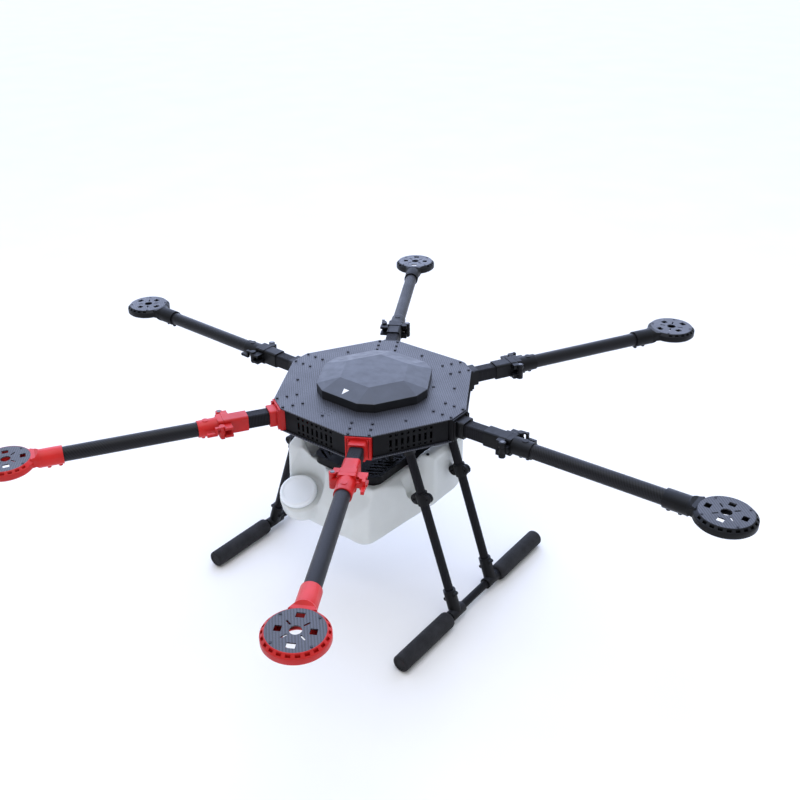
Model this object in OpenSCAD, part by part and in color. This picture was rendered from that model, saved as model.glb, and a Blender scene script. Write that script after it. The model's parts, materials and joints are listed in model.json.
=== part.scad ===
/* [Overall] */
// Distance from the middle of the craft to each motor axis
motor_r = 702; // [690:1:720]
// Height of the hub's top face above the ground
hub_top_z = 423; // [415:1:440]
// Upward slope of each arm from the hub to its motor, in degrees
arm_rise = 1.12; // [0.5:0.01:1.5]

/* [Hub] */
// Distance from the middle to each cut-off corner of the hub plates
hub_corner = 201.5; // [198:0.5:205]
// Half the width of each cut-off corner
hub_corner_half = 22; // [20:0.5:24]
// Height of the hub over both plates
hub_h = 50; // [48:1:54]
// Thickness of the hub plates
plate_t = 2; // [1.5:0.5:2]
// Distance from the middle to the vented side panels
panel_dist = 181.5; // [178:0.5:183]
// Number of vent columns in each side panel
vent_cols = 8; // [6:1:9]

/* [Dome] */
// Distance from the middle to each cut-off corner of the dome
dome_corner = 116; // [110:1:120]
// Height of the dome's upright wall
dome_wall_h = 18; // [14:1:20]
// Height of the dome over the hub plate
dome_h = 30; // [26:1:34]
// Distance from the middle to the corners of the flat top
dome_top_r = 72; // [66:1:78]

/* [Arms] */
// Width of the square inner tubes
inner_tube_w = 27; // [26:0.5:28]
// Outer diameter of the round arm tubes
arm_tube_d = 28; // [27:0.5:29]
// Distance from the middle to the plane where an arm parts when it folds
split_x = 312; // [308:1:316]
// Distance from the arm's axis to its hinge pin
hinge_y = 26; // [25:0.5:28]
// Distance from the arm's axis to its lock lever's pin
lever_y = 27; // [26:0.5:28]

/* [Motor mounts] */
// Diameter of the motor plates
motor_plate_d = 86; // [84:1:88]
// Diameter of the motor dishes
motor_dish_d = 99; // [97:1:101]
// Diameter of the motor plates' centre hole
motor_bore_d = 18; // [16:1:20]

/* [Tank and tray] */
// Width of the tank
tank_w = 288; // [280:2:294]
// Length of the tank
tank_l = 262; // [250:2:270]
// Height of the tank
tank_h = 182; // [175:1:190]
// Wall of the tank
tank_wall = 3; // [2.5:0.5:4]
// Diameter of the filler cap
cap_d = 76; // [74:1:90]
// Width of the tray
tray_w = 164; // [150:2:170]
// Length of the tray
tray_l = 214; // [200:2:220]

/* [Landing gear] */
// Distance from the middle to each skid
skid_x = 252; // [245:1:262]
// Length of each skid over its foam sleeves
skid_l = 492; // [480:2:500]
// Distance between the two legs of a side
leg_gap = 128; // [120:2:136]
// Outer diameter of the leg tubes
leg_d = 18; // [16:1:20]
// Outer diameter of the foam sleeves
foam_d = 35; // [33:1:37]

/* [Hidden] */
$fn = 48;
eps = 0.01;
gap = 0.4;                                        // space between pieces that pass each other
carbon = "dimgray";
satin_black = [0.11, 0.11, 0.12];
anodised_red = [0.85, 0.13, 0.14];
steel = "silver";

// Arms are numbered anticlockwise from +X, seen from above; 5 and 6 are the two red front arms.
red_arms = [5, 6];
black_arms = [1, 2, 3, 4];
function arm_angle(k) = 60 * (k - 1);
function arm_colour(k) = k > 4 ? anodised_red : satin_black;

// Heights
hub_mid_z = hub_top_z - hub_h / 2;
hub_low_z = hub_top_z - hub_h;
arm_z = hub_mid_z - hub_corner * sin(arm_rise);   // height of the arms' axes at the middle of the craft
motor_z = hub_top_z - 3;                          // top face of the motor plates
tray_top_z = hub_low_z - 90;
tray_skirt = 18;
saddle_z = tray_top_z - tray_skirt;               // floor of the tank's saddle, which the tray stands on
tank_top_z = saddle_z + 42;
tank_low_z = tank_top_z - tank_h;
tank_mid_y = -9;

// Hub details
post_r = 157.5;                                   // mid-edge posts, between the corners
socket_rows = 19.4;                               // half the distance between the two rows of corner screws
socket_screw_x = [156.5, 176.5, 196.5];
socket_in = 148;                                  // inner end of the sockets
socket_half = 24;
flange_t = 3.5;
collar_end = 222;
collar_w = 33;
collar_h = 34;
screw_r = 1.5;
screw_head_r = 2.8;
vent_pitch = 11.6;
vent_w = 5;

// Arm details, measured outward from the middle of the craft along the arm
inner_end = 280;                                  // outer end of the square tubes
joint_in = 264;                                   // inner end of the inner joints
flange_in = 298;                                  // start of the inner joints' thick end
flange_out = 322;                                 // end of the outer joints' thick end
joint_out = 360;                                  // outer end of the outer joints
tube_in = 330;
tube_out = 640;
neck_in = 605;                                    // inner end of the motor mounts
neck_out = 646;                                   // outer end of their round collars
joint_w = 33;
joint_h = 34;
pad_z = 17.4;                                     // top of the pad on the outer joints
knuckle_r = 6.5;
hinge_half = 15.5;                                // half the height of the hinge
knuckle_half = 6;                                 // half the height of its middle knuckle
pin_r = 3;
pin_fit = 0.06;                                   // running clearance round pins
lever_x = split_x + 6;
boss_r = 6;
lug_half = 5;                                     // half the height of the outer joint's lug
lug_w = 12;
claw_t = 5;
dish_h = 18.5;
bevel_h = 6;

// Landing gear details
gear_y = -6;                                      // the skids lie slightly forward of the hub
leg_y = [-leg_gap / 2 - 4, leg_gap / 2 - 4];
skid_z = foam_d / 2;
rod_r = 8;
leg_top = [129, 0, hub_low_z - 4];
leg_foot = [skid_x - 6, 0, skid_z + 14];
leg_run = leg_top - leg_foot;
leg_tilt = atan(leg_run[0] / leg_run[2]);         // negative: legs lean outward going down
leg_len = norm(leg_run);
clamp_at = 225;                                   // height of the mid-leg clamps along the leg
clamp_h = 26;

// Tank outlines, anticlockwise. From above the front right corner is cut away beside the leg,
// and the front left one carries the filler neck.
tank_half = tank_w / 2;
tank_front_y = tank_mid_y - tank_l / 2;
tank_back_y = tank_mid_y + tank_l / 2;
tank_plan = [
    [-tank_half, tank_front_y + 30], [-tank_half + 24, tank_front_y], [tank_half - 96, tank_front_y],
    [tank_half - 64, tank_front_y + 14], [tank_half - 38, -50], [tank_half - 24, -14], [tank_half, 6],
    [tank_half, tank_back_y - 16], [tank_half - 16, tank_back_y], [-tank_half + 16, tank_back_y],
    [-tank_half, tank_back_y - 16]];
// From the side, Y to the right: the nose swells forward under the tray, and the bottom rises to the back
tank_side = [
    [tank_front_y, tank_low_z + 16], [tank_front_y + 12, tank_low_z + 4], [tank_front_y + 26, tank_low_z],
    [14, tank_low_z], [40, tank_low_z + 34],
    [tank_back_y - 26, tank_low_z + 70], [tank_back_y, tank_low_z + 102], [tank_back_y, tank_top_z - 18],
    [tank_back_y - 16, tank_top_z], [-88, tank_top_z], [-112, tank_top_z - 22], [-120, saddle_z - 20],
    [tank_front_y, saddle_z - 72]];
// From the front: a lobe rises on each side of the saddle
tank_front = [
    [-88, tank_low_z], [36, tank_low_z], [82, tank_low_z + 12], [120, tank_low_z + 42],
    [tank_half, tank_low_z + 66], [tank_half, tank_top_z - 10], [tank_half - 8, tank_top_z],
    [118, tank_top_z], [88, saddle_z], [-88, saddle_z], [-118, tank_top_z],
    [-tank_half + 18, tank_top_z], [-tank_half + 5, tank_top_z - 9], [-tank_half, tank_top_z - 24],
    [-tank_half, tank_low_z + 60],
    [-125, tank_low_z + 30], [-104, tank_low_z + 5]];

// Moves each side of an anticlockwise outline inward by d
function shrink(outline, d) = [for (i = [0:len(outline) - 1]) let (
    n = len(outline),
    before = outline[i] - outline[(i + n - 1) % n],
    after = outline[(i + 1) % n] - outline[i],
    u = before / norm(before),
    v = after / norm(after)
) outline[i] + d * [-u[1] - v[1], u[0] + v[0]] / (1 + u * v)];

lobe_y = -8;                                      // front of the right-hand lobe
shoulder_z = tank_top_z - 62;

// Cap
cap_tilt = [20, 9];                               // towards the front and towards the right
cap_at = [-92, -144, hub_top_z - 213];            // middle of the cap's outer face
cap_h = 13;
boss_shift = [4, 3];                             // from the cap to the middle of the boss below it
boss_ledge = 8;
neck_r = 34;
neck_wall = 3;

module on_arm(k) {                                // +X along the arm, Z = 0 on its axis
    rotate([0, 0, arm_angle(k)]) translate([0, 0, arm_z]) rotate([0, -arm_rise, 0]) children();
}

module on_motor(k) {                              // level, at the middle of a motor plate's top face
    rotate([0, 0, arm_angle(k)]) translate([motor_r, 0, motor_z]) children();
}

module six_ways(turn = 0) {
    for (k = [0:5]) rotate([0, 0, turn + 60 * k]) children();
}

module mirrored_x() {
    children();
    mirror([1, 0, 0]) children();
}

module mirrored_z() {
    children();
    mirror([0, 0, 1]) children();
}

// A cylinder from x0 to x1 along the X axis
module rod(x0, x1, r, r_end = 0) {
    translate([x0, 0, 0]) rotate([0, 90, 0]) cylinder(h = x1 - x0, r1 = r, r2 = r_end > 0 ? r_end : r);
}

// A square bar with rounded edges, from x0 to x1 along the X axis
module soft_bar(x0, x1, w, h, r) {
    translate([x0, 0, 0]) rotate([90, 0, 90]) linear_extrude(x1 - x0) rounded_rect(w, h, r);
}

module rounded_rect(w, h, r) {
    square([w - 2 * r, h], center = true);
    square([w, h - 2 * r], center = true);
    for (x = [-1, 1], y = [-1, 1]) translate([x * (w / 2 - r), y * (h / 2 - r)]) circle(r);
}

// A slot with round ends, centred, along X
module slot(len, w) {
    square([len - w, w], center = true);
    for (x = [-1, 1]) translate([x * (len - w) / 2, 0]) circle(w / 2);
}

// Hexagon with its corners cut off square at distance d from the middle
module cut_hexagon(d, half) {
    polygon([for (k = [0:5], s = [-1, 1])
        [d * cos(60 * k) - s * half * sin(60 * k), d * sin(60 * k) + s * half * cos(60 * k)]]);
}

module hub_screw_places() {
    six_ways() for (x = socket_screw_x, y = [-1, 1]) translate([x, y * socket_rows]) children();
    six_ways(30) translate([post_r, 0]) children();
}

module screw(len) {                               // head up, head seated at Z = 0
    cylinder(h = 2, r = screw_head_r);
    translate([0, 0, -len]) cylinder(h = len, r = screw_r);
}

// ---- hub ----

module hub_plate(wire_hole_r) {
    linear_extrude(plate_t) difference() {
        cut_hexagon(hub_corner, hub_corner_half);
        hub_screw_places() circle(screw_r + 0.1);
        circle(wire_hole_r);
    }
}

module top_plate() {
    color(carbon) translate([0, 0, hub_top_z - plate_t]) difference() {
        hub_plate(24);
        // sensor bolt holes near the front edge, and a wire grommet hole beside the dome
        for (x = [-9, 0, 9], y = [-133, -141.5, -150])
            translate([x, y, -eps]) cylinder(h = plate_t + 1, r = 1);
        translate([101, 58, -eps]) cylinder(h = plate_t + 1, r = 3.5);
    }
}

module bottom_plate() {
    color(carbon) translate([0, 0, hub_low_z]) hub_plate(20);
}

module side_panels() {
    half_len = (panel_dist * sin(30) - socket_half) / cos(30);
    color(satin_black) six_ways(30) difference() {
        translate([panel_dist - 2, -half_len + 2, hub_low_z + plate_t])
            cube([2, 2 * half_len - 4, hub_h - 2 * plate_t]);
        for (c = [0:vent_cols - 1]) {
            y = (c - (vent_cols - 1) / 2) * vent_pitch;
            for (row = [[16, 5], [0, 15], [-14, 5]])
                translate([panel_dist - 3, y - vent_w / 2, hub_mid_z - 2 + row[0] - row[1] / 2])
                    cube([4, vent_w, row[1]]);
        }
    }
}

module hub_posts() {
    color(steel) six_ways(30) translate([post_r, 0, hub_low_z + plate_t]) difference() {
        cylinder(h = hub_h - 2 * plate_t, r = 4);
        translate([0, 0, -eps]) cylinder(h = hub_h, r = screw_r + 0.1);
    }
}

module hub_screws() {
    color("black") {
        translate([0, 0, hub_top_z]) hub_screw_places() screw(9);
        translate([0, 0, hub_low_z]) mirror([0, 0, 1]) hub_screw_places() screw(9);
    }
}

// ---- dome and electronics ----

module dome_solid(inset) {
    linear_extrude(dome_wall_h) cut_hexagon(dome_corner - inset, 17 - inset / 2);
    hull() {
        translate([0, 0, dome_wall_h - 1]) linear_extrude(1) cut_hexagon(dome_corner - inset, 17 - inset / 2);
        translate([0, 0, dome_h - inset - 1]) linear_extrude(1) circle(dome_top_r - inset, $fn = 6);
    }
}

module dome_cover() {
    color([0.25, 0.27, 0.33]) translate([0, 0, hub_top_z]) difference() {
        dome_solid(0);
        translate([0, 0, -eps]) dome_solid(2.5);
    }
}

module flight_controller() {
    color("darkslategray") translate([0, 0, hub_top_z]) difference() {
        linear_extrude(17) rounded_rect(92, 60, 5);
        // sockets for the leads along both long sides
        for (y = [-1, 1], x = [-33:11:33])
            translate([x - 4, y * 30 - 4, 5]) cube([8, 8, 4]);
    }
}

module power_board() {
    color("darkgreen") translate([0, 0, hub_low_z + plate_t]) difference() {
        union() {
            linear_extrude(3) rounded_rect(120, 96, 8);
            for (a = [0:60:300]) rotate([0, 0, a]) translate([38, 0, 3])
                linear_extrude(9) square(14, center = true);
        }
        translate([0, 0, -eps]) cylinder(h = 4, r = 20);
    }
}

// ---- arms, the fixed part ----

module socket(k) {
    difference() {
        union() {
            rotate([0, 0, arm_angle(k)]) {
                translate([socket_in, -socket_half, hub_low_z + plate_t])
                    cube([hub_corner - socket_in, 2 * socket_half, hub_h - 2 * plate_t]);
                translate([hub_corner, -socket_half, hub_low_z + plate_t])
                    cube([flange_t, 2 * socket_half, hub_h - 2 * plate_t]);
                // upright ribs on the flange, either side of the collar
                for (y = [-1, 1], out = [17.5, 22])
                    translate([hub_corner + flange_t, y * out - 1, hub_low_z + 5])
                        cube([4, 2, hub_h - 10]);
            }
            on_arm(k) soft_bar(hub_corner, collar_end, collar_w, collar_h, 4);
        }
        on_arm(k) soft_bar(socket_in - 5, collar_end + 1, inner_tube_w, inner_tube_w, 5);
        rotate([0, 0, arm_angle(k)]) for (x = socket_screw_x, y = [-1, 1], z = [hub_low_z, hub_top_z - 12])
            translate([x, y * socket_rows, z]) cylinder(h = 12, r = screw_r + 0.1);
    }
}

module arm_sockets_red() {
    color(anodised_red) for (k = red_arms) socket(k);
}

module arm_sockets_black() {
    color(satin_black) for (k = black_arms) socket(k);
}

module inner_tubes() {
    color(carbon) for (k = [1:6]) on_arm(k) difference() {
        soft_bar(socket_in + 4, inner_end, inner_tube_w, inner_tube_w, 5);
        soft_bar(socket_in, inner_end + 4, inner_tube_w - 4, inner_tube_w - 4, 3);
    }
}

module inner_joint(k) {
    on_arm(k) difference() {
        union() {
            soft_bar(joint_in, flange_in, 30, 32, 5);
            soft_bar(flange_in, split_x - gap / 2, joint_w, joint_h, 4);
            // upper and lower hinge knuckles, with the webs that carry them
            mirrored_z() translate([0, -hinge_y, knuckle_half + gap / 2])
                linear_extrude(hinge_half - knuckle_half - gap / 2) {
                    translate([split_x, 0]) circle(knuckle_r);
                    translate([flange_in, 0])
                        square([split_x - gap / 2 - flange_in, hinge_y - joint_w / 2 + 2]);
                    translate([split_x - knuckle_r, 0]) square([knuckle_r - gap / 2, knuckle_r]);
                }
            // two claws that the lever's boss draws home
            mirrored_z() translate([flange_in, joint_w / 2 - 2, lug_half + gap])
                cube([split_x + 1.5 - flange_in, lever_y + boss_r + 1 - joint_w / 2 + 2, claw_t - gap]);
            // clamp bosses underneath
            for (x = [272, 284]) translate([x, 0, -20]) cylinder(h = 8, r = 3.6);
        }
        soft_bar(joint_in - 1, inner_end, inner_tube_w, inner_tube_w, 5);
        rod(inner_end - 1, split_x + 1, 10.5);
        translate([lever_x, lever_y, -20]) cylinder(h = 40, r = boss_r + gap);
        // the flange stops short of the outer joint's face next to the claws
        translate([split_x - gap / 2, -joint_w / 2 - 1, -20]) cube([10, joint_w + 1.5, 40]);
        translate([split_x, -hinge_y, -20]) cylinder(h = 40, r = pin_r);
    }
}

module inner_joints_red() {
    color(anodised_red) for (k = red_arms) inner_joint(k);
}

module inner_joints_black() {
    color(satin_black) for (k = black_arms) inner_joint(k);
}

module hinge_pins() {
    color(steel) for (k = [1:6]) on_arm(k) translate([split_x, -hinge_y, 0]) {
        translate([0, 0, -hinge_half]) cylinder(h = 2 * hinge_half, r = pin_r);
        mirrored_z() translate([0, 0, hinge_half]) cylinder(h = 1, r = 4);
    }
}

// ---- arms, the folding part ----

module outer_joint(k) {
    color(arm_colour(k)) on_arm(k) difference() {
        union() {
            soft_bar(split_x + gap / 2, flange_out, joint_w, joint_h, 4);
            rod(flange_out, joint_out, 17, 16.2);
            // middle hinge knuckle and its web
            translate([split_x, -hinge_y, -knuckle_half]) linear_extrude(2 * knuckle_half) {
                circle(knuckle_r);
                translate([gap / 2, 0]) square([flange_out - split_x - gap / 2, hinge_y - joint_w / 2 + 2]);
            }
            // lug that carries the lock lever
            translate([lever_x, lever_y, -lug_half]) linear_extrude(2 * lug_half) {
                translate([-4, joint_w / 2 - 2 - lever_y]) square([lug_w, lever_y - joint_w / 2 + 2]);
                circle(boss_r);
            }
            // pad on top and clamp bosses underneath
            translate([344, 0, 12]) cylinder(h = pad_z - 12, r = 6);
            for (x = [336, 350]) translate([x, 0, -20]) cylinder(h = 8, r = 3.6);
        }
        rod(split_x - 1, tube_in + 1, 10.5);
        rod(tube_in, joint_out + 1, arm_tube_d / 2);
        translate([split_x, -hinge_y, -20]) cylinder(h = 40, r = pin_r + pin_fit);
        translate([lever_x, lever_y, -20]) cylinder(h = 40, r = pin_r + pin_fit);
    }
}

module lock_lever(k) {
    color(arm_colour(k)) on_arm(k) translate([lever_x, lever_y, 0]) {
        translate([0, 0, -lug_half - gap - claw_t]) cylinder(h = 2 * (lug_half + gap + claw_t), r = pin_r);
        mirrored_z() translate([0, 0, lug_half + gap]) cylinder(h = claw_t, r = boss_r);
        // crank over the boss, and the slim handle, which lies along the arm when locked
        translate([0, 0, lug_half + gap + claw_t]) linear_extrude(3) {
            circle(boss_r);
            translate([0, 1]) square([14, 5]);
        }
        translate([10, 1, -3]) cube([4, 6, lug_half + gap + claw_t + 6]);
        translate([10, 1, -3]) cube([20, 6, 6]);
        translate([0, 0, -lug_half - gap - claw_t - 3]) cylinder(h = 3, r = 4.5);
    }
}

module arm_tube(k) {
    color(carbon) on_arm(k) difference() {
        rod(tube_in, tube_out, arm_tube_d / 2);
        rod(tube_in - 1, tube_out + 1, arm_tube_d / 2 - 1.5);
    }
}

module dish_outline(inset) {
    r = motor_dish_d / 2 - inset;
    polygon([[0, -dish_h + inset], [r - 3, -dish_h + inset], [r, -dish_h + 3 + inset],
        [r, -bevel_h], [motor_plate_d / 2 + 0.6, 0], [0, 0]]);
}

// Blends the round collar into the dish's rim
module neck(k) {
    rim_x = motor_r - motor_dish_d / 2 + 8;
    intersection() {
        on_arm(k) rod(neck_out - 1, rim_x, 17, 24);
        rotate([0, 0, arm_angle(k)]) translate([0, 0, arm_z - 20]) linear_extrude(60)
            polygon([[neck_out - 2, -17], [rim_x, -21], [rim_x, 21], [neck_out - 2, 17]]);
        rotate([90, 0, arm_angle(k)]) translate([0, 0, -30]) linear_extrude(60) polygon([
            [neck_out - 2, motor_z - 30], [rim_x - 8, motor_z - dish_h], [rim_x, motor_z - dish_h],
            [rim_x, motor_z], [rim_x - 8, motor_z], [neck_out - 2, motor_z + 6]]);
    }
}

module motor_mount(k) {
    pockets = [for (a = [-128:16:128]) a];        // round the dish, clear of the neck
    color(arm_colour(k)) difference() {
        union() {
            on_arm(k) rod(neck_in, neck_out, 17);
            on_motor(k) rotate_extrude() dish_outline(0);
            neck(k);
            on_arm(k) for (x = [612, 632]) translate([x, 0, -21]) cylinder(h = 8, r = 3.6);
        }
        on_arm(k) rod(neck_in - 1, tube_out, arm_tube_d / 2);
        on_motor(k) {
            // seat of the motor plate, the hollow below it, and the hole in the floor
            translate([0, 0, -plate_t]) cylinder(h = plate_t + 5, r = motor_plate_d / 2);
            translate([0, 0, -dish_h + 2.5]) cylinder(h = dish_h, r = 36);
            translate([0, 0, -dish_h - 1]) cylinder(h = 5, r = 20);
            for (a = pockets) rotate([0, 0, a])
                translate([motor_plate_d / 2 + 1.6, -3.6, -bevel_h - 1]) cube([3.4, 7.2, 6]);
            for (a = [45:90:315]) rotate([0, 0, a]) translate([39.5, 0, -10])
                cylinder(h = 12, r = screw_r + 0.1);
        }
    }
}

module motor_plate(k) {
    color(carbon) on_motor(k) translate([0, 0, -plate_t]) linear_extrude(plate_t) difference() {
        circle(motor_plate_d / 2 - 0.2);
        circle(motor_bore_d / 2);
        for (a = [0, 180]) rotate(a) translate([29.5, 0]) square([10, 13], center = true);
        for (a = [90, 270]) rotate(a) translate([25, 0]) square([10.5, 11.5], center = true);
        for (a = [45:90:315]) rotate(a) translate([18.5, 0]) slot(11, 3);
        for (a = [45:90:315]) rotate(a) translate([39.5, 0]) circle(screw_r + 0.1);
    }
}

module arm_screws(k) {
    color(carbon) {
        on_motor(k) for (a = [45:90:315]) rotate([0, 0, a]) translate([39.5, 0, 0]) {
            cylinder(h = 0.8, r = 2.2);
            translate([0, 0, -8]) cylinder(h = 8, r = screw_r);
        }
    }
}

// ---- tray and tank ----

module tray_outline() {
    rounded_rect(tray_w, tray_l, 22);
}

module tray_slots() {
    // seven slanted slots on each side of the front, and a pair along each long edge
    mirrored_x() for (i = [0:6]) translate([60, -94 + 13 * i]) rotate(30) slot(34, 4.5);
    mirrored_x() for (x = [60, 71]) translate([x, 62]) slot_y(34, 4.5);
}

module slot_y(len, w) {
    rotate(90) slot(len, w);
}

module tray() {
    color(satin_black) {
        translate([0, 0, tray_top_z - 2.5]) linear_extrude(2.5) difference() {
            tray_outline();
            tray_slots();
        }
        translate([0, 0, tray_top_z - tray_skirt]) linear_extrude(tray_skirt - 2.5) difference() {
            tray_outline();
            rounded_rect(tray_w - 6, tray_l - 6, 19);
        }
    }
}

module tray_hangers() {
    color(satin_black) for (x = [-62, 62], y = [-30, 75]) translate([x, y, tray_top_z]) {
        cylinder(h = hub_low_z - tray_top_z, r = 5);
        cylinder(h = 3, r = 10);
        translate([0, 0, hub_low_z - tray_top_z - 3]) cylinder(h = 3, r = 10);
    }
}

// The vessel's outer shape is where its outlines from above, from the side and from the front meet;
// inset shrinks them for the hollow.
module tank_solid(inset) {
    difference() {
        intersection() {
            translate([0, 0, tank_low_z]) linear_extrude(tank_h) polygon(shrink(tank_plan, inset));
            translate([-tank_w, 0, 0]) rotate([90, 0, 90]) linear_extrude(2 * tank_w)
                polygon(shrink(tank_side, inset));
            translate([0, tank_l, 0]) rotate([90, 0, 0]) linear_extrude(2 * tank_l)
                polygon(shrink(tank_front, inset));
        }
        // the front right shoulder stays low, beside the tray
        translate([88 - inset, lobe_y + inset, 0]) rotate([90, 0, 0]) linear_extrude(tank_l)
            polygon([[0, saddle_z - inset], [20, shoulder_z - inset], [60, shoulder_z - inset],
                [60, tank_top_z + 1], [0, tank_top_z + 1]]);
    }
}

module on_cap() {                                 // Z along the cap's axis, Z = 0 on its outer face
    translate(cap_at) rotate([cap_tilt[0], cap_tilt[1], 0]) children();
}

// Room for the cap, which is sunk into the tank's shoulder
module cap_pocket(grow) {
    on_cap() translate([boss_shift[0], boss_shift[1], -cap_h - gap - grow])
        cylinder(h = 70, r1 = cap_d / 2 + boss_ledge + grow, r2 = cap_d / 2 + boss_ledge + 16 + grow);
}

module tank() {
    color([0.92, 0.93, 0.92]) difference() {
        union() {
            difference() {
                union() {
                    tank_solid(0);
                    on_cap() translate([boss_shift[0], boss_shift[1], -46])
                        cylinder(h = 40, r = cap_d / 2 + boss_ledge);
                }
                cap_pocket(0);
            }
            on_cap() translate([0, 0, -40]) cylinder(h = 37, r = neck_r);
        }
        difference() {
            tank_solid(tank_wall);
            cap_pocket(tank_wall);
        }
        on_cap() translate([0, 0, -60]) cylinder(h = 70, r = neck_r - neck_wall);
    }
}

module tank_cap() {
    color([0.86, 0.9, 0.96]) on_cap() difference() {
        union() {
            translate([0, 0, -cap_h]) cylinder(h = cap_h, r = cap_d / 2);
            for (a = [0:15:345]) rotate([0, 0, a]) translate([cap_d / 2 - 0.5, 0, -cap_h + 1])
                cylinder(h = cap_h - 3, r = 1.6);
        }
        translate([0, 0, -cap_h - 1]) cylinder(h = cap_h - 2 + eps, r = neck_r + 0.3);
    }
}

// ---- landing gear ----

module each_leg() {
    mirrored_x() for (y = leg_y) translate([0, y, 0]) children();
}

module on_leg() {                                 // Z up along a leg, Z = 0 at its foot
    each_leg() translate(leg_foot) rotate([0, leg_tilt, 0]) children();
}

module leg_mounts() {
    color(satin_black) difference() {
        union() {
            each_leg() translate([leg_top[0] - 24, -17, hub_low_z - 5]) cube([44, 34, 5]);
            intersection() {
                on_leg() translate([0, 0, leg_len - 24]) cylinder(h = 50, r = leg_d / 2 + 3);
                each_leg() translate([80, -20, hub_low_z - 50]) cube([100, 40, 50]);
            }
        }
        on_leg() translate([0, 0, leg_len - 30]) cylinder(h = 24, r = leg_d / 2);
        // the screws of the hub's side posts come through the plates
        six_ways(30) translate([post_r, 0, hub_low_z - 6]) cylinder(h = 7, r = screw_head_r + gap);
    }
}

module leg_tubes() {
    color(carbon) on_leg() translate([0, 0, 12]) difference() {
        cylinder(h = leg_len - 18, r = leg_d / 2);
        translate([0, 0, -1]) cylinder(h = leg_len, r = leg_d / 2 - 1.5);
    }
}

module leg_clamps() {
    color(satin_black) on_leg() translate([0, 0, clamp_at]) difference() {
        union() {
            cylinder(h = clamp_h, r = leg_d / 2 + 3);
            // round lobe towards the tank, and a smaller one away from it
            translate([-leg_d / 2 - 4, 0, clamp_h / 2]) rotate([90, 0, 0])
                cylinder(h = 15, r = 11, center = true);
            translate([leg_d / 2 + 3, 0, clamp_h / 2]) rotate([90, 0, 0])
                cylinder(h = 12, r = 10, center = true);
        }
        translate([0, 0, -1]) cylinder(h = clamp_h + 2, r = leg_d / 2);
        translate([leg_d / 2 - 1, -0.6, -1]) cube([16, 1.2, clamp_h + 2]);
        translate([-leg_d / 2 - 7, 0, clamp_h / 2]) rotate([90, 0, 0])
            cylinder(h = 30, r = 2.5, center = true);
        translate([leg_d / 2 + 6, 0, clamp_h / 2]) rotate([90, 0, 0]) cylinder(h = 30, r = 2, center = true);
    }
}

module skid_tees() {
    color(satin_black) difference() {
        union() {
            each_leg() translate([skid_x, -21, skid_z]) rotate([-90, 0, 0]) cylinder(h = 42, r = rod_r + 3.5);
            intersection() {
                on_leg() translate([0, 0, -16]) cylinder(h = 52, r = leg_d / 2 + 3.5);
                each_leg() translate([skid_x - 60, -20, skid_z]) cube([90, 40, 90]);
            }
            // clamp lugs, the inner one lower
            on_leg() for (lug = [[-1, 15], [1, 27]]) translate([lug[0] * (leg_d / 2 + 3), 0, lug[1]])
                rotate([90, 0, 0]) cylinder(h = 12, r = 4, center = true);
        }
        on_leg() translate([0, 0, 12]) cylinder(h = 60, r = leg_d / 2);
        mirrored_x() translate([skid_x, gear_y, skid_z]) rotate([90, 0, 0])
            cylinder(h = 200, r = rod_r, center = true);
    }
}

module skid_rods() {
    color(carbon) mirrored_x() translate([skid_x, gear_y, skid_z]) rotate([90, 0, 0]) difference() {
        cylinder(h = skid_l - 8, r = rod_r, center = true);
        cylinder(h = skid_l, r = rod_r - 1.5, center = true);
    }
}

module skid_foams() {
    foam_l = (skid_l - leg_gap) / 2 - 24;
    color("black") mirrored_x() for (s = [-1, 1])
        translate([skid_x, gear_y + s * (skid_l / 2 - foam_l / 2), skid_z]) rotate([90, 0, 0]) difference() {
            cylinder(h = foam_l, r = foam_d / 2, center = true);
            translate([0, 0, s * 4]) cylinder(h = foam_l, r = rod_r, center = true);
        }
}

top_plate();
bottom_plate();
side_panels();
hub_posts();
hub_screws();
dome_cover();
flight_controller();
power_board();
arm_sockets_red();
arm_sockets_black();
inner_tubes();
inner_joints_red();
inner_joints_black();
hinge_pins();
tray();
tray_hangers();
tank();
tank_cap();
leg_mounts();
leg_tubes();
leg_clamps();
skid_tees();
skid_rods();
skid_foams();
for (k = [1:6]) {
    outer_joint(k);
    lock_lever(k);
    arm_tube(k);
    motor_mount(k);
    motor_plate(k);
    arm_screws(k);
}
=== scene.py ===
"""Looks of the six-arm folding spray drone airframe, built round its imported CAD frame.

All lengths are in metres, and the craft faces -Y.
"""

import json
import math

import bmesh
import bpy
from mathutils import Matrix, Vector, noise


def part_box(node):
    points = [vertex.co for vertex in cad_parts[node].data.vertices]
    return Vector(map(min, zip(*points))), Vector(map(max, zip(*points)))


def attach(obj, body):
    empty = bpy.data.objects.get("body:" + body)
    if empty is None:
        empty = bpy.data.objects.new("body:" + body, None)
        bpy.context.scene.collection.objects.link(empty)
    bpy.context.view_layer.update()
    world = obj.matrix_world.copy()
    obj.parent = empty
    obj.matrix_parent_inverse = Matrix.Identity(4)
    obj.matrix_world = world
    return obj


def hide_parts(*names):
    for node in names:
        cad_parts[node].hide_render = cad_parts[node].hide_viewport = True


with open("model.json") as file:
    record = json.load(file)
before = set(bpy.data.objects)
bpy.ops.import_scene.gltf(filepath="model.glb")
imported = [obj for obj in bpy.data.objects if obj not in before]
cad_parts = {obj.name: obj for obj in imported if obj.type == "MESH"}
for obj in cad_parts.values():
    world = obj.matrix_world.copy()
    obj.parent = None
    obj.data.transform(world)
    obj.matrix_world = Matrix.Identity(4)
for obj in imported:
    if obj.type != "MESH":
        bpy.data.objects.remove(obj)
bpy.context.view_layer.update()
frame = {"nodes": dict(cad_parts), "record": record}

HUB_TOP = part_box("top_plate")[1].z
HUB_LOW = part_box("bottom_plate")[0].z
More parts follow.
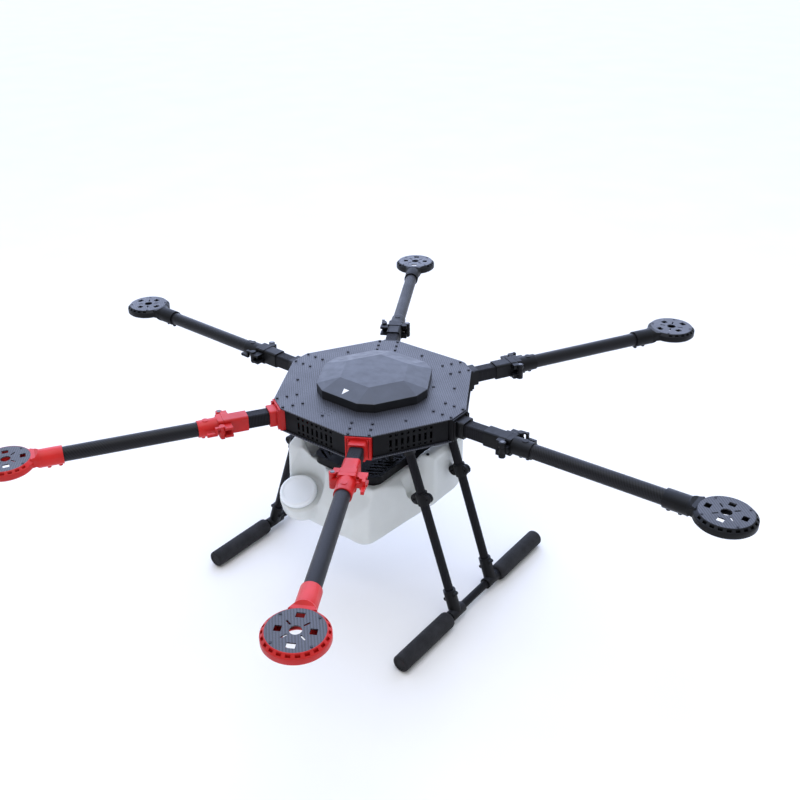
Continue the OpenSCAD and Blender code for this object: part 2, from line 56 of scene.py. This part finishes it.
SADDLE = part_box("tray")[0].z                        # the tray's underside, where the tank's saddle lies


def arm_angle(k):
    """Arms are numbered anticlockwise from +X, seen from above."""
    return math.radians(60 * (k - 1))


# ---------------------------------------------------------------- stage, light and camera


CAMERA_PLACE = Vector((1.0339, -1.2650, 0.8664 + HUB_TOP))
CAMERA_RIGHT = Vector((0.76831, 0.63946, -0.02797))
CAMERA_DOWN = Vector((0.29049, -0.38729, -0.87500))
CAMERA_FORWARD = Vector((-0.57036, 0.66415, -0.48331))
LENS_MM = 41.865
SHIFT_X = 0.0557


def make_camera():
    data = bpy.data.cameras.new("camera")
    data.lens = LENS_MM
    data.sensor_width = 36
    data.shift_x = SHIFT_X
    camera = bpy.data.objects.new("camera", data)
    turn = Matrix((CAMERA_RIGHT, -CAMERA_DOWN, -CAMERA_FORWARD)).transposed()
    camera.matrix_world = Matrix.Translation(CAMERA_PLACE) @ turn.to_4x4()
    bpy.context.scene.collection.objects.link(camera)
    bpy.context.scene.camera = camera


def area_light(name, place, size, watts, colour, aim=(0, 0, 0.3)):
    data = bpy.data.lights.new(name, "AREA")
    data.shape = "DISK"
    data.size = size
    data.energy = watts
    data.color = colour
    light = bpy.data.objects.new(name, data)
    light.location = place
    light.rotation_euler = (Vector(aim) - Vector(place)).to_track_quat("-Z", "Y").to_euler()
    bpy.context.scene.collection.objects.link(light)


SKY_FACING = Vector((-0.57, 0.66, 0.48))            # towards the bright part of the sky
SKY_STRENGTH = 1.8
SKY_COLOURS = ((0.1, (0.36, 0.37, 0.38)), (0.6, (0.50, 0.56, 0.66)), (1.0, (1.15, 1.32, 1.85)))


def make_world():
    """An even pale sky, brighter and bluer behind the craft, which lights the tops of dark parts."""
    world = bpy.data.worlds.new("studio")
    world.use_nodes = True
    tree = world.node_tree
    place = tree.nodes.new("ShaderNodeTexCoord")
    toward = tree.nodes.new("ShaderNodeVectorMath")
    toward.operation = "DOT_PRODUCT"
    toward.inputs[1].default_value = SKY_FACING
    ramp = tree.nodes.new("ShaderNodeValToRGB")
    ramp.color_ramp.interpolation = "EASE"
    ramp.color_ramp.elements.new(0.5)
    for element, (position, colour) in zip(ramp.color_ramp.elements, SKY_COLOURS):
        element.position = position
        element.color = (*colour, 1)
    tree.links.new(place.outputs["Generated"], toward.inputs[0])
    tree.links.new(toward.outputs["Value"], ramp.inputs[0])
    tree.links.new(ramp.outputs[0], tree.nodes["Background"].inputs["Color"])
    tree.nodes["Background"].inputs["Strength"].default_value = SKY_STRENGTH
    bpy.context.scene.world = world


# ---------------------------------------------------------------- materials


SKY_SHEEN = (0.30, 0.34, 0.46)                          # painted sky sheen: the blue-grey that upward faces are lightened towards, standing in for light from the blue sky


class Surface:
    """A procedural material, built up one node at a time round a Principled shader."""

    def __init__(self, name, roughness=0.5, **sockets):
        self.material = bpy.data.materials.new(name)
        self.material.use_nodes = True
        self.tree = self.material.node_tree
        self.shader = self.tree.nodes["Principled BSDF"]
        self.shader.inputs["Roughness"].default_value = roughness
        for socket, value in sockets.items():
            self.shader.inputs[socket.replace("_", " ")].default_value = value
        self.place = self.add("TexCoord").outputs["Object"]

    def add(self, kind, inputs=None, **settings):
        node = self.tree.nodes.new("ShaderNode" + kind)
        for key, value in settings.items():
            setattr(node, key, value)
        for key, value in (inputs or {}).items():
            self.put(value, node.inputs[key])
        return node

    def put(self, value, socket):
        if isinstance(value, bpy.types.NodeSocket):
            self.tree.links.new(value, socket)
        else:
            socket.default_value = value

    def math(self, operation, a, b=0.0, c=0.0):
        return self.add("Math", {0: a, 1: b, 2: c}, operation=operation).outputs[0]

    def noise(self, scale, detail=3.0, stretch=(1, 1, 1), roughness=0.5):
        place = self.add("VectorMath", {0: self.place, 1: stretch}, operation="MULTIPLY").outputs[0]
        settings = {"Vector": place, "Scale": scale, "Detail": detail, "Roughness": roughness}
        return self.add("TexNoise", settings).outputs[0]

    def ramp(self, factor, low, high, colours):
        """Colours from the first to the second as factor goes from low to high."""
        node = self.add("ValToRGB", {0: factor})
        for element, position, colour in zip(node.color_ramp.elements, (low, high), colours):
            element.position = position
            element.color = (*colour, 1)
        return node.outputs[0]

    def span(self, factor, low, high, to_low, to_high):
        return self.add("MapRange", {0: factor, 1: low, 2: high, 3: to_low, 4: to_high}).outputs[0]

    def mix(self, factor, a, b):
        node = self.add("Mix", data_type="RGBA")
        for key, value in ((0, factor), (6, a), (7, b)):
            self.put(value, node.inputs[key])
        return node.outputs[2]

    def painted_sheen(self, amount):
        """Painted highlight: a bluish sky sheen, uneven in patches, on faces that look up: 0 on walls, and
        up to amount on tops.
        """
        # painted highlight: the mask follows which way a face looks, as light from above would
        up = self.add("SeparateXYZ", {0: self.add("NewGeometry").outputs["Normal"]}).outputs[2]
        patches = self.span(self.noise(17, 5, roughness=0.6), 0.3, 0.7, 0.6 * amount, amount)
        return self.math("MULTIPLY", self.span(up, 0.35, 0.95, 0.0, 1.0), patches)

    def colour(self, value):
        self.put(value, self.shader.inputs["Base Color"])

    def rough(self, value):
        self.put(value, self.shader.inputs["Roughness"])

    def bump(self, height, depth, strength=1.0):
        """Height from 0 to 1 stands for depth metres."""
        node = self.add("Bump", {"Strength": strength, "Distance": depth, "Height": height})
        self.put(node.outputs[0], self.shader.inputs["Normal"])


ARM_AXIS_Z = HUB_LOW + 0.021                        # height that a tube's weave is wrapped about
ARM_TUBE_RADIUS = 0.014
GRAIN = 0.00005                                     # depth of a moulding's surface grain


def carbon_weave(name, pitch, tones, turn=0.0, tube_radius=0.0, **sockets):
    """2 by 2 twill: flat, or wrapped round a tube that runs along X once turned back by turn."""
    s = Surface(name, **sockets)
    turned = s.add("VectorRotate", {"Vector": s.place, "Angle": -turn}, rotation_type="Z_AXIS").outputs[0]
    split = s.add("SeparateXYZ", {0: turned})
    u = s.math("DIVIDE", split.outputs[0], pitch)
    if tube_radius:
        height = s.math("SUBTRACT", split.outputs[2], ARM_AXIS_Z)
        around = s.math("MULTIPLY", s.math("ARCTAN2", split.outputs[1], height), tube_radius)
        v = s.math("DIVIDE", around, pitch)
    else:
        v = s.math("DIVIDE", split.outputs[1], pitch)
    step = s.math("ADD", s.math("FLOOR", u), s.math("FLOOR", v))
    over = s.math("LESS_THAN", s.math("FLOORED_MODULO", step, 4.0), 1.99)
    across_u = s.math("SINE", s.math("MULTIPLY", s.math("FRACT", v), math.pi))
    across_v = s.math("SINE", s.math("MULTIPLY", s.math("FRACT", u), math.pi))
    crown = s.add("Mix", {0: over, 2: across_v, 3: across_u}).outputs[0]
    fibres = s.noise(900, 2, (0.15, 1, 1))
    tone = s.math("ADD", s.math("MULTIPLY", over, 0.55), s.math("MULTIPLY", fibres, 0.45))
    s.colour(s.ramp(tone, 0.1, 0.95, tones))
    base = s.shader.inputs["Roughness"].default_value
    s.rough(s.span(s.noise(14, 4), 0.3, 0.7, base - 0.05, base + 0.07))
    s.bump(crown, 0.00012, 0.6)
    return s.material


def moulded(name, colour, roughness, grain=GRAIN, grain_scale=1400, top_sheen=0.0, shade=0.7, **sockets):
    """Injection-moulded plastic: fine grain, a faint flow tone and a painted bluish sky sheen on its upper
    faces.
    """
    s = Surface(name, roughness, **sockets)
    dark = tuple(shade * c for c in colour)
    flow = s.ramp(s.noise(11, 5), 0.35, 0.65, (dark, colour))
    # painted highlight: upward faces are mixed towards the sky's blue-grey by the given amount
    s.colour(s.mix(s.painted_sheen(top_sheen), flow, (*SKY_SHEEN, 1)))
    s.rough(s.span(s.noise(60, 4), 0.3, 0.7, roughness - 0.06, roughness + 0.08))
    s.bump(s.noise(grain_scale, 3), grain)
    return s.material


def blown_plastic(name, colour, **sockets):
    """Translucent blow-moulded polyethylene: milky, with soft waves and a faint cloud in its wall."""
    s = Surface(name, 0.36, **sockets)
    cloud = tuple(0.93 * c for c in colour)
    s.colour(s.ramp(s.noise(16, 4), 0.35, 0.7, (cloud, colour)))
    s.rough(s.span(s.noise(35, 3), 0.3, 0.7, 0.30, 0.44))
    waves = s.math("ADD", s.noise(22, 2), s.math("MULTIPLY", s.noise(420, 3), 0.10))
    s.bump(waves, 0.0012, 0.5)
    return s.material


def closed_cell_foam(name):
    """Matt black foam: fine round cells, and broader soft dents."""
    s = Surface(name, 0.82, Specular_IOR_Level=0.35)
    cells = s.add("TexVoronoi", {"Vector": s.place, "Scale": 750.0}, feature="F1").outputs["Distance"]
    s.colour(s.ramp(s.noise(40, 5), 0.3, 0.7, ((0.010, 0.010, 0.012), (0.022, 0.022, 0.026))))
    s.rough(s.span(cells, 0.0, 0.8, 0.70, 0.92))
    s.bump(s.math("ADD", cells, s.math("MULTIPLY", s.noise(90, 4), 0.8)), 0.0004, 0.7)
    return s.material


def turned_steel(name, colour, roughness):
    """Steel with fine scratches that run up and down."""
    s = Surface(name, roughness, Metallic=1.0)
    scratches = s.noise(700, 3, (1, 1, 0.05))
    s.colour(s.ramp(scratches, 0.3, 0.7, (tuple(0.8 * c for c in colour), colour)))
    s.rough(s.span(s.noise(120, 4), 0.3, 0.7, roughness - 0.08, roughness + 0.12))
    s.bump(scratches, 0.00002, 0.5)
    return s.material


def solder_mask(name):
    """Green lacquer over a board's raised tracks."""
    s = Surface(name, 0.3, Coat_Weight=0.4)
    layout = {"Vector": s.place, "Scale": 90.0, "Mortar Size": 0.03}
    traces = s.add("TexBrick", layout, offset=0.3).outputs["Fac"]
    s.colour(s.mix(traces, (0.010, 0.060, 0.028, 1), (0.035, 0.120, 0.055, 1)))
    s.bump(traces, 0.00004)
    return s.material


def floor_paper(name):
    """Pale matt backdrop paper."""
    s = Surface(name, 0.65)
    s.colour(s.ramp(s.noise(3, 4), 0.3, 0.7, ((0.87, 0.85, 0.83), (0.90, 0.88, 0.86))))
    s.bump(s.noise(300, 3), 0.0001, 0.3)
    return s.material


PLATE_TONES = ((0.010, 0.010, 0.014), (0.064, 0.069, 0.092))
TUBE_TONES = ((0.002, 0.002, 0.003), (0.013, 0.013, 0.017))
RED = (0.62, 0.013, 0.011)
BLACK = (0.004, 0.004, 0.005)
DOME_BLACK = (0.006, 0.007, 0.010)
# the sheen amount given to a moulding is the strength of its painted sky sheen on upward faces
MATERIALS = {
    "carbon_plate": carbon_weave(
        "carbon_plate", 0.0015, PLATE_TONES, roughness=0.40, Specular_IOR_Level=0.5
    ),
    "red_fitting": moulded("red_fitting", RED, 0.38, top_sheen=0.012, Specular_IOR_Level=0.32),
    "black_fitting": moulded("black_fitting", BLACK, 0.42, top_sheen=0.04, Specular_IOR_Level=0.18),
    "side_panel": moulded("side_panel", BLACK, 0.5, Specular_IOR_Level=0.12),
    "dome_shell": moulded(
        "dome_shell",
        DOME_BLACK,
        0.40,
        grain=0.00003,
        grain_scale=2200,
        top_sheen=0.12,
        Specular_IOR_Level=0.5,
    ),
    "tank_shell": blown_plastic(
        "tank_shell",
        (0.74, 0.765, 0.755),
        Subsurface_Weight=0.25,
        Subsurface_Scale=0.008,
        Subsurface_Radius=(1.0, 1.0, 1.0),
    ),
    "cap_plastic": moulded("cap_plastic", (0.93, 0.965, 1.0), 0.35, shade=0.97),
    "tray_plastic": moulded(
        "tray_plastic",
        BLACK,
        0.5,
        grain=0.00008,
        grain_scale=900,
        top_sheen=0.06,
        Specular_IOR_Level=0.15,
    ),
    "foam": closed_cell_foam("foam"),
    "screws": turned_steel("screws", (0.05, 0.05, 0.055), 0.38),
    "steel": turned_steel("steel", (0.16, 0.16, 0.165), 0.42),
    "controller_case": moulded("controller_case", (0.03, 0.034, 0.038), 0.45),
    "circuit_board": solder_mask("circuit_board"),
    "white_paint": moulded("white_paint", (0.80, 0.80, 0.80), 0.45, shade=0.95),
}


LEG_TUBE = carbon_weave("carbon_tube_legs", 0.0010, TUBE_TONES, roughness=0.5, Specular_IOR_Level=0.12)


def arm_tube_material(k):
    """The weave of arm tube k, turned to the arm's heading."""
    return carbon_weave(
        f"carbon_tube_{k}",
        0.0013,
        TUBE_TONES,
        turn=arm_angle(k),
        tube_radius=ARM_TUBE_RADIUS,
        roughness=0.40,
        Specular_IOR_Level=0.22,
    )


def paint(obj, material):
    obj.data.materials.clear()
    obj.data.materials.append(material)


# ---------------------------------------------------------------- CAD nodes: materials and softened edges


EDGE_RADII = {
    "red_fitting": 0.0007,
    "black_fitting": 0.0007,
    "dome_shell": 0.0012,
    "tray_plastic": 0.0008,
}
SHARP_ANGLE = math.radians(20)                      # edges that turn by more than this are rounded


def soften(obj, width):
    """Rounds the edges that a moulding or a machined piece would have rounded."""
    weld = obj.modifiers.new("weld", "WELD")
    weld.merge_threshold = 1e-6
    bevel = obj.modifiers.new("bevel", "BEVEL")
    bevel.width = width
    bevel.segments = 2
    bevel.limit_method = "ANGLE"
    bevel.angle_limit = SHARP_ANGLE
    bevel.harden_normals = True
    bevel.use_clamp_overlap = True


def dress_cad_nodes():
    slots = {part["node"]: part["material_slot"] for part in frame["record"]["subparts"]}
    for node, obj in frame["nodes"].items():
        slot = slots[node]
        if node.startswith("arm_tube_"):
            paint(obj, arm_tube_material(int(node[-1])))
        elif slot == "carbon_tube":
            paint(obj, LEG_TUBE)
        else:
            paint(obj, MATERIALS[slot])
        if slot in EDGE_RADII:
            soften(obj, EDGE_RADII[slot])


# ---------------------------------------------------------------- pieces


def add_piece(name, body, slot, mesh, material=None):
    obj = bpy.data.objects.new(name, mesh)
    bpy.context.scene.collection.objects.link(obj)
    paint(obj, material or MATERIALS[slot])
    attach(obj, body)
    return obj


def extruded(outline, low, high):
    """A closed prism over an anticlockwise outline of (x, y) points, from z = low to z = high."""
    bm = bmesh.new()
    bottom = [bm.verts.new((x, y, low)) for x, y in outline]
    top = [bm.verts.new((x, y, high)) for x, y in outline]
    bm.faces.new(bottom[::-1])
    bm.faces.new(top)
    for i in range(len(outline)):
        j = (i + 1) % len(outline)
        bm.faces.new((bottom[i], bottom[j], top[j], top[i]))
    return bm


def lathe(profile, steps=96):
    """A surface of revolution about Z over (radius, z) points, which start and end on the axis."""
    bm = bmesh.new()
    turns = [2 * math.pi * i / steps for i in range(steps)]
    rings = []
    for radius, z in profile:
        if radius == 0:
            rings.append([bm.verts.new((0, 0, z))])
        else:
            rings.append([bm.verts.new((radius * math.cos(t), radius * math.sin(t), z)) for t in turns])
    for low, high in zip(rings, rings[1:]):
        for i in range(steps):
            j = (i + 1) % steps
            corners = [low[i % len(low)], low[j % len(low)], high[j % len(high)], high[i % len(high)]]
            bm.faces.new(list(dict.fromkeys(corners)))              # a triangle where a ring is a point
    bmesh.ops.recalc_face_normals(bm, faces=bm.faces)
    return bm


def to_mesh(name, bm, smooth_angle=None):
    """The finished mesh, shaded smooth except over edges that turn by more than smooth_angle degrees."""
    if smooth_angle is not None:
        for face in bm.faces:
            face.smooth = True
        limit = math.radians(smooth_angle)
        for edge in bm.edges:
            edge.smooth = len(edge.link_faces) == 2 and edge.calc_face_angle(0) < limit
    mesh = bpy.data.meshes.new(name)
    bm.to_mesh(mesh)
    bm.free()
    return mesh


def temp_object(name, bm):
    obj = bpy.data.objects.new(name, to_mesh(name, bm))
    bpy.context.scene.collection.objects.link(obj)
    return obj


def apply_modifiers(obj):
    """Replaces the object's mesh with what its modifiers make of it."""
    bpy.context.view_layer.update()
    evaluated = obj.evaluated_get(bpy.context.evaluated_depsgraph_get())
    mesh = bpy.data.meshes.new_from_object(evaluated)
    obj.modifiers.clear()
    obj.data = mesh


def combine(obj, other, operation):
    """Exact boolean of the object with another, which is used up."""
    modifier = obj.modifiers.new("combine", "BOOLEAN")
    modifier.operation = operation
    modifier.solver = "EXACT"
    modifier.object = other
    apply_modifiers(obj)
    bpy.data.objects.remove(other)


# ---------------------------------------------------------------- tank

TANK_LOW, TANK_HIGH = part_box("tank")
TANK_FRONT = -0.140
LOBE_FRONT = -0.008                                 # where the right lobe rises behind its low shoulder
SHOULDER = TANK_HIGH.z - 0.062                      # top of that shoulder
# the cap's frame: its origin is the middle of the cap's face, and the cap turns about its Z
CAP_AXIS = (
    Matrix.Translation((-0.092, -0.144, HUB_TOP - 0.213))
    @ Matrix.Rotation(math.radians(9), 4, "Y")
    @ Matrix.Rotation(math.radians(20), 4, "X")
)
BOSS_AXIS = CAP_AXIS @ Matrix.Translation((0.004, 0.003, 0))
REACH = 0.3                                         # further out than the tank on every side
# a prism over (y, z) points is laid along X, and one over (x, z) points along -Y
ALONG_X = Matrix(((0, 0, 1, 0), (1, 0, 0, 0), (0, 1, 0, 0), (0, 0, 0, 1)))
ALONG_Y = Matrix(((1, 0, 0, 0), (0, 0, -1, 0), (0, 1, 0, 0), (0, 0, 0, 1)))


def tank_outlines():
    """The vessel's outlines from above (x, y), from the side (y, z) and from the front (x, z)."""
    half = TANK_HIGH.x
    back = TANK_HIGH.y
    front = TANK_FRONT
    low = TANK_LOW.z
    top = TANK_HIGH.z
    plan = [
        (-half, front + 0.030), (-half + 0.024, front),
        (half - 0.096, front), (half - 0.064, front + 0.014),
        (half - 0.038, -0.050), (half - 0.024, -0.014), (half, 0.006),
        (half, back - 0.016), (half - 0.016, back),
        (-half + 0.016, back), (-half, back - 0.016),
    ]
    side = [
        (front, low + 0.016), (front + 0.012, low + 0.004), (front + 0.026, low),
        (0.014, low), (0.040, low + 0.034), (back - 0.026, low + 0.070), (back, low + 0.102),
        (back, top - 0.018), (back - 0.016, top),
        (-0.088, top), (-0.112, top - 0.022), (-0.120, SADDLE - 0.020), (front, SADDLE - 0.072),
    ]
    front_view = [
        (-0.088, low), (0.036, low), (0.082, low + 0.012), (0.120, low + 0.042), (half, low + 0.066),
        (half, top - 0.010), (half - 0.008, top),
        (0.118, top), (0.088, SADDLE), (-0.088, SADDLE), (-0.118, top),
        (-half + 0.018, top), (-half + 0.005, top - 0.009), (-half, top - 0.024),
        (-half, low + 0.060), (-0.125, low + 0.030), (-0.104, low + 0.005),
    ]
    return plan, side, front_view


def turned(name, bm, matrix):
    bmesh.ops.transform(bm, matrix=matrix, verts=bm.verts)
    bmesh.ops.recalc_face_normals(bm, faces=bm.faces)
    return temp_object(name, bm)


def remesh(obj, voxel, factor, rounds):
    """Voxel remesh and then smoothing, which rounds every edge as blow moulding does."""
    modifier = obj.modifiers.new("remesh", "REMESH")
    modifier.mode = "VOXEL"
    modifier.voxel_size = voxel
    smooth = obj.modifiers.new("smooth", "SMOOTH")
    smooth.factor = factor
    smooth.iterations = rounds
    apply_modifiers(obj)


def carve(body, name, outline, low, high, way):
    """Cuts away the prism over an outline from low to high, laid along X or -Y."""
    combine(body, turned(name, extruded(outline, low, high), way), "DIFFERENCE")


def carve_lobes(body):
    """The dips between the tank's lobes, and the notch under its front edge."""
    low = TANK_LOW.z
    top = TANK_HIGH.z
    # the front right shoulder stays low, and falls away sharply behind into a valley before the right lobe
    shoulder = [
        (0.088, SADDLE), (0.108, SHOULDER), (0.16, SHOULDER),
        (0.16, top + 0.02), (0.088, top + 0.02),
    ]
    carve(body, "shoulder", shoulder, -LOBE_FRONT, REACH, ALONG_Y)
    valley = [
        (-0.050, SHOULDER + 0.03), (-0.034, SHOULDER - 0.034),
        (-0.016, SHOULDER - 0.034), (LOBE_FRONT, SHOULDER + 0.03),
    ]
    carve(body, "valley", valley, 0.096, 0.2, ALONG_X)
    # the left lobe is pressed in where it faces the tray
    recess = [
        (-0.122, top + 0.01), (-0.108, top + 0.01),
        (-0.088, SADDLE - 0.004), (-0.100, SADDLE - 0.012),
    ]
    carve(body, "recess", recess, -0.060, 0.096, ALONG_Y)
    # a small notch is cut in the bottom edge at the front
    notch = [(-0.145, low + 0.014), (-0.108, low + 0.010), (-0.104, low - 0.01), (-0.126, low - 0.01)]
    carve(body, "notch", notch, 0.020, 0.044, ALONG_X)


def raise_seam(mesh):
    """The parting line of the mould: a low ridge round the vessel, left out underneath."""
    seam_y = 0.012
    half_width = 0.0028
    height = 0.0008
    for vertex in mesh.vertices:
        off = abs(vertex.co.y - seam_y)
        if off < half_width and vertex.co.z > TANK_LOW.z + 0.004:
            vertex.co += vertex.normal * height * (1 - off / half_width)


def make_tank():
    """Blow-moulded vessel with a saddle for the tray between its lobes, and a filler at its front left."""
    plan, side, front_view = tank_outlines()
    body = temp_object("tank_body", extruded(plan, TANK_LOW.z - 0.01, TANK_HIGH.z + 0.01))
    combine(body, turned("tank_side", extruded(side, -REACH, REACH), ALONG_X), "INTERSECT")
    combine(body, turned("tank_front", extruded(front_view, -REACH, REACH), ALONG_Y), "INTERSECT")
    carve_lobes(body)
    remesh(body, voxel=0.003, factor=0.5, rounds=7)
    # the filler: a round boss, the pocket that the cap sits in, and the neck under the cap
    boss = [
        (0.0, -0.05), (0.044, -0.05), (0.046, -0.045),
        (0.046, -0.0165), (0.0435, -0.0137), (0.0, -0.0137),
    ]
    pocket = [(0.0, -0.0136), (0.046, -0.0136), (0.062, 0.056), (0.0, 0.056)]
    neck = [
        (0.0, -0.04), (0.034, -0.04), (0.034, -0.004),
        (0.031, -0.004), (0.031, -0.030), (0.0, -0.030),
    ]
    combine(body, turned("boss", lathe(boss), BOSS_AXIS), "UNION")
    combine(body, turned("pocket", lathe(pocket), BOSS_AXIS), "DIFFERENCE")
    remesh(body, voxel=0.0024, factor=0.5, rounds=3)
    combine(body, turned("neck", lathe(neck), CAP_AXIS), "UNION")
    mesh = body.data
    raise_seam(mesh)
    for polygon in mesh.polygons:
        polygon.use_smooth = True
    bpy.data.objects.remove(body)
    tank = add_piece("tank_vessel", "frame", "tank_shell", mesh)
    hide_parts("tank")
    return tank


def make_tank_plug(tank):
    """A small dark screw plug in the rounded front of the right lobe, flat on the tank's wall."""
    above = Vector((0.130, 0.001, 1.0))
    place, normal = tank.ray_cast(above, Vector((0, 0, -1)))[1:3]
    profile = [(0.0, 0.0016), (0.0026, 0.0014), (0.0034, 0.0006), (0.0036, -0.003), (0.0, -0.003)]
    bm = lathe(profile, 32)
    stand = Matrix.Translation(place) @ normal.to_track_quat("Z", "Y").to_matrix().to_4x4()
    bmesh.ops.transform(bm, matrix=stand, verts=bm.verts)
    add_piece("tank_plug", "frame", "screws", to_mesh("tank_plug", bm, 40))


CAP_RIBS = 60
CAP_RIB_HEIGHT = 0.0007


def make_cap():
    """Screw cap with a ribbed grip and a shallow stepped face."""
    profile = [
        (0.0, -0.0030), (0.0343, -0.0030), (0.0343, -0.013), (0.0368, -0.013), (0.0376, -0.0122),
        (0.0380, -0.0110), (0.0380, -0.0042), (0.0374, -0.0018), (0.0358, -0.0005), (0.0340, -0.0001),
        (0.0312, 0.0), (0.0302, -0.0007), (0.0287, -0.0009), (0.0120, -0.0007), (0.0, -0.0007),
    ]
    bm = lathe(profile, 4 * CAP_RIBS)
    for vertex in bm.verts:
        radius = vertex.co.xy.length
        on_grip = radius > 0.0375 and -0.0125 < vertex.co.z < -0.0030
        if on_grip:
            turn = math.atan2(vertex.co.y, vertex.co.x)
            grow = 1 + CAP_RIB_HEIGHT * (0.5 + 0.5 * math.cos(CAP_RIBS * turn)) / radius
            vertex.co.x *= grow
            vertex.co.y *= grow
    bmesh.ops.transform(bm, matrix=CAP_AXIS, verts=bm.verts)
    cap = add_piece("filler_cap", "cap", "cap_plastic", to_mesh("filler_cap", bm, 40))
    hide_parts("tank_cap")


# ---------------------------------------------------------------- landing gear


FOAM_LENGTH = 0.158
FOAM_ROUNDING = 0.0045                              # radius of a sleeve's outer rim
FOAM_DENT = 0.00025                                 # mean depth of the dents in its skin


def foam_profile(outer_r, rod_r):
    """Section of a sleeve on its rod, from the recessed plug at its outer end to the inner end at z = 0."""
    plug_z = FOAM_LENGTH - 0.0018
    bore_r = rod_r + 0.0002
    bore_end = FOAM_LENGTH - 0.004
    rim_turns = [math.radians(degrees) for degrees in range(0, 91, 15)]
    rim = [
        (outer_r - FOAM_ROUNDING * (1 - math.sin(t)), FOAM_LENGTH - FOAM_ROUNDING * (1 - math.cos(t)))
        for t in rim_turns
    ]
    rings = 40
    skin = [(outer_r, 0.006 + i * (FOAM_LENGTH - 0.012) / rings) for i in range(rings + 1)]
    plug = [(0.0, plug_z), (0.0105, plug_z), (0.0112, FOAM_LENGTH - 0.0002)]
    inner_end = [(outer_r - 0.0012, 0.0018), (outer_r - FOAM_ROUNDING, 0.0)]
    bore = [(rod_r + 0.001, 0.0), (bore_r, 0.001), (bore_r, bore_end), (0.0, bore_end)]
    return plug + rim + skin[::-1] + inner_end + bore


def make_foams():
    """Closed-cell foam sleeves on the skids, with a slightly uneven skin."""
    low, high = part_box("skid_foams")
    rods_low, rods_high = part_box("skid_rods")
    outer_r = (high.z - low.z) / 2
    rod_r = (rods_high.z - rods_low.z) / 2
    centre_z = (high.z + low.z) / 2
    sleeves = []
    for side, x in (("left", low.x + outer_r), ("right", high.x - outer_r)):
        for end, y, way in (("front", low.y, -1), ("rear", high.y, 1)):
            name = f"foam_{side}_{end}"
            bm = lathe(foam_profile(outer_r, rod_r), 72)
            for vertex in bm.verts:
                if vertex.co.xy.length > outer_r - 0.0046:
                    spot = Vector((vertex.co.x * 30, vertex.co.y * 30, vertex.co.z * 22 + 7 * x))
                    scale = 1 - FOAM_DENT * (1 + noise.noise(spot)) / outer_r
                    vertex.co.x *= scale
                    vertex.co.y *= scale
            inner_end = Matrix.Translation((x, y - way * FOAM_LENGTH, centre_z))
            place = inner_end @ Matrix.Rotation(-way * math.pi / 2, 4, "X")
            bmesh.ops.transform(bm, matrix=place, verts=bm.verts)
            sleeve = add_piece(name, "frame", "foam", to_mesh(name, bm, 50))
            sleeves.append(sleeve)
    for sleeve in sleeves:
        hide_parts("skid_foams")


# ---------------------------------------------------------------- hub details


def make_heading_mark():
    """A small white triangle on the dome's front facet, which points the way the craft faces."""
    top_y, top_z = -0.0624, HUB_TOP + 0.030         # the facet's upper edge
    wall_y, wall_z = -0.10896, HUB_TOP + 0.018      # and its lower edge
    slope = (top_z - wall_z) / (top_y - wall_y)
    corners = [(-0.0065, -0.086), (0.0065, -0.086), (0.0, -0.1005)]
    bm = bmesh.new()
    layers = []
    for lift in (-0.0003, 0.0004):
        spots = [(x, y, top_z + (y - top_y) * slope + lift) for x, y in corners]
        layers.append([bm.verts.new(spot) for spot in spots])
    bm.faces.new(layers[0])
    bm.faces.new(layers[1][::-1])
    for i in range(3):
        j = (i + 1) % 3
        bm.faces.new((layers[0][i], layers[0][j], layers[1][j], layers[1][i]))
    bmesh.ops.recalc_face_normals(bm, faces=bm.faces)
    mesh = to_mesh("heading_mark", bm)
    add_piece("heading_mark", "frame", "cap_plastic", mesh, MATERIALS["white_paint"])


# ---------------------------------------------------------------- build

make_camera()
make_world()
area_light("overhead", (0.1, -0.3, 3.0), size=2.4, watts=30, colour=(0.95, 0.97, 1.0))

FLOOR_HALF = 20
floor_corners = [(x * FLOOR_HALF, y * FLOOR_HALF) for x, y in ((-1, -1), (1, -1), (1, 1), (-1, 1))]
floor = temp_object("floor", extruded(floor_corners, -0.02, 0.0))
paint(floor, floor_paper("floor_paper"))

dress_cad_nodes()
make_tank_plug(make_tank())
make_cap()
make_foams()
make_heading_mark()
bpy.context.scene.view_settings.view_transform = "Standard"
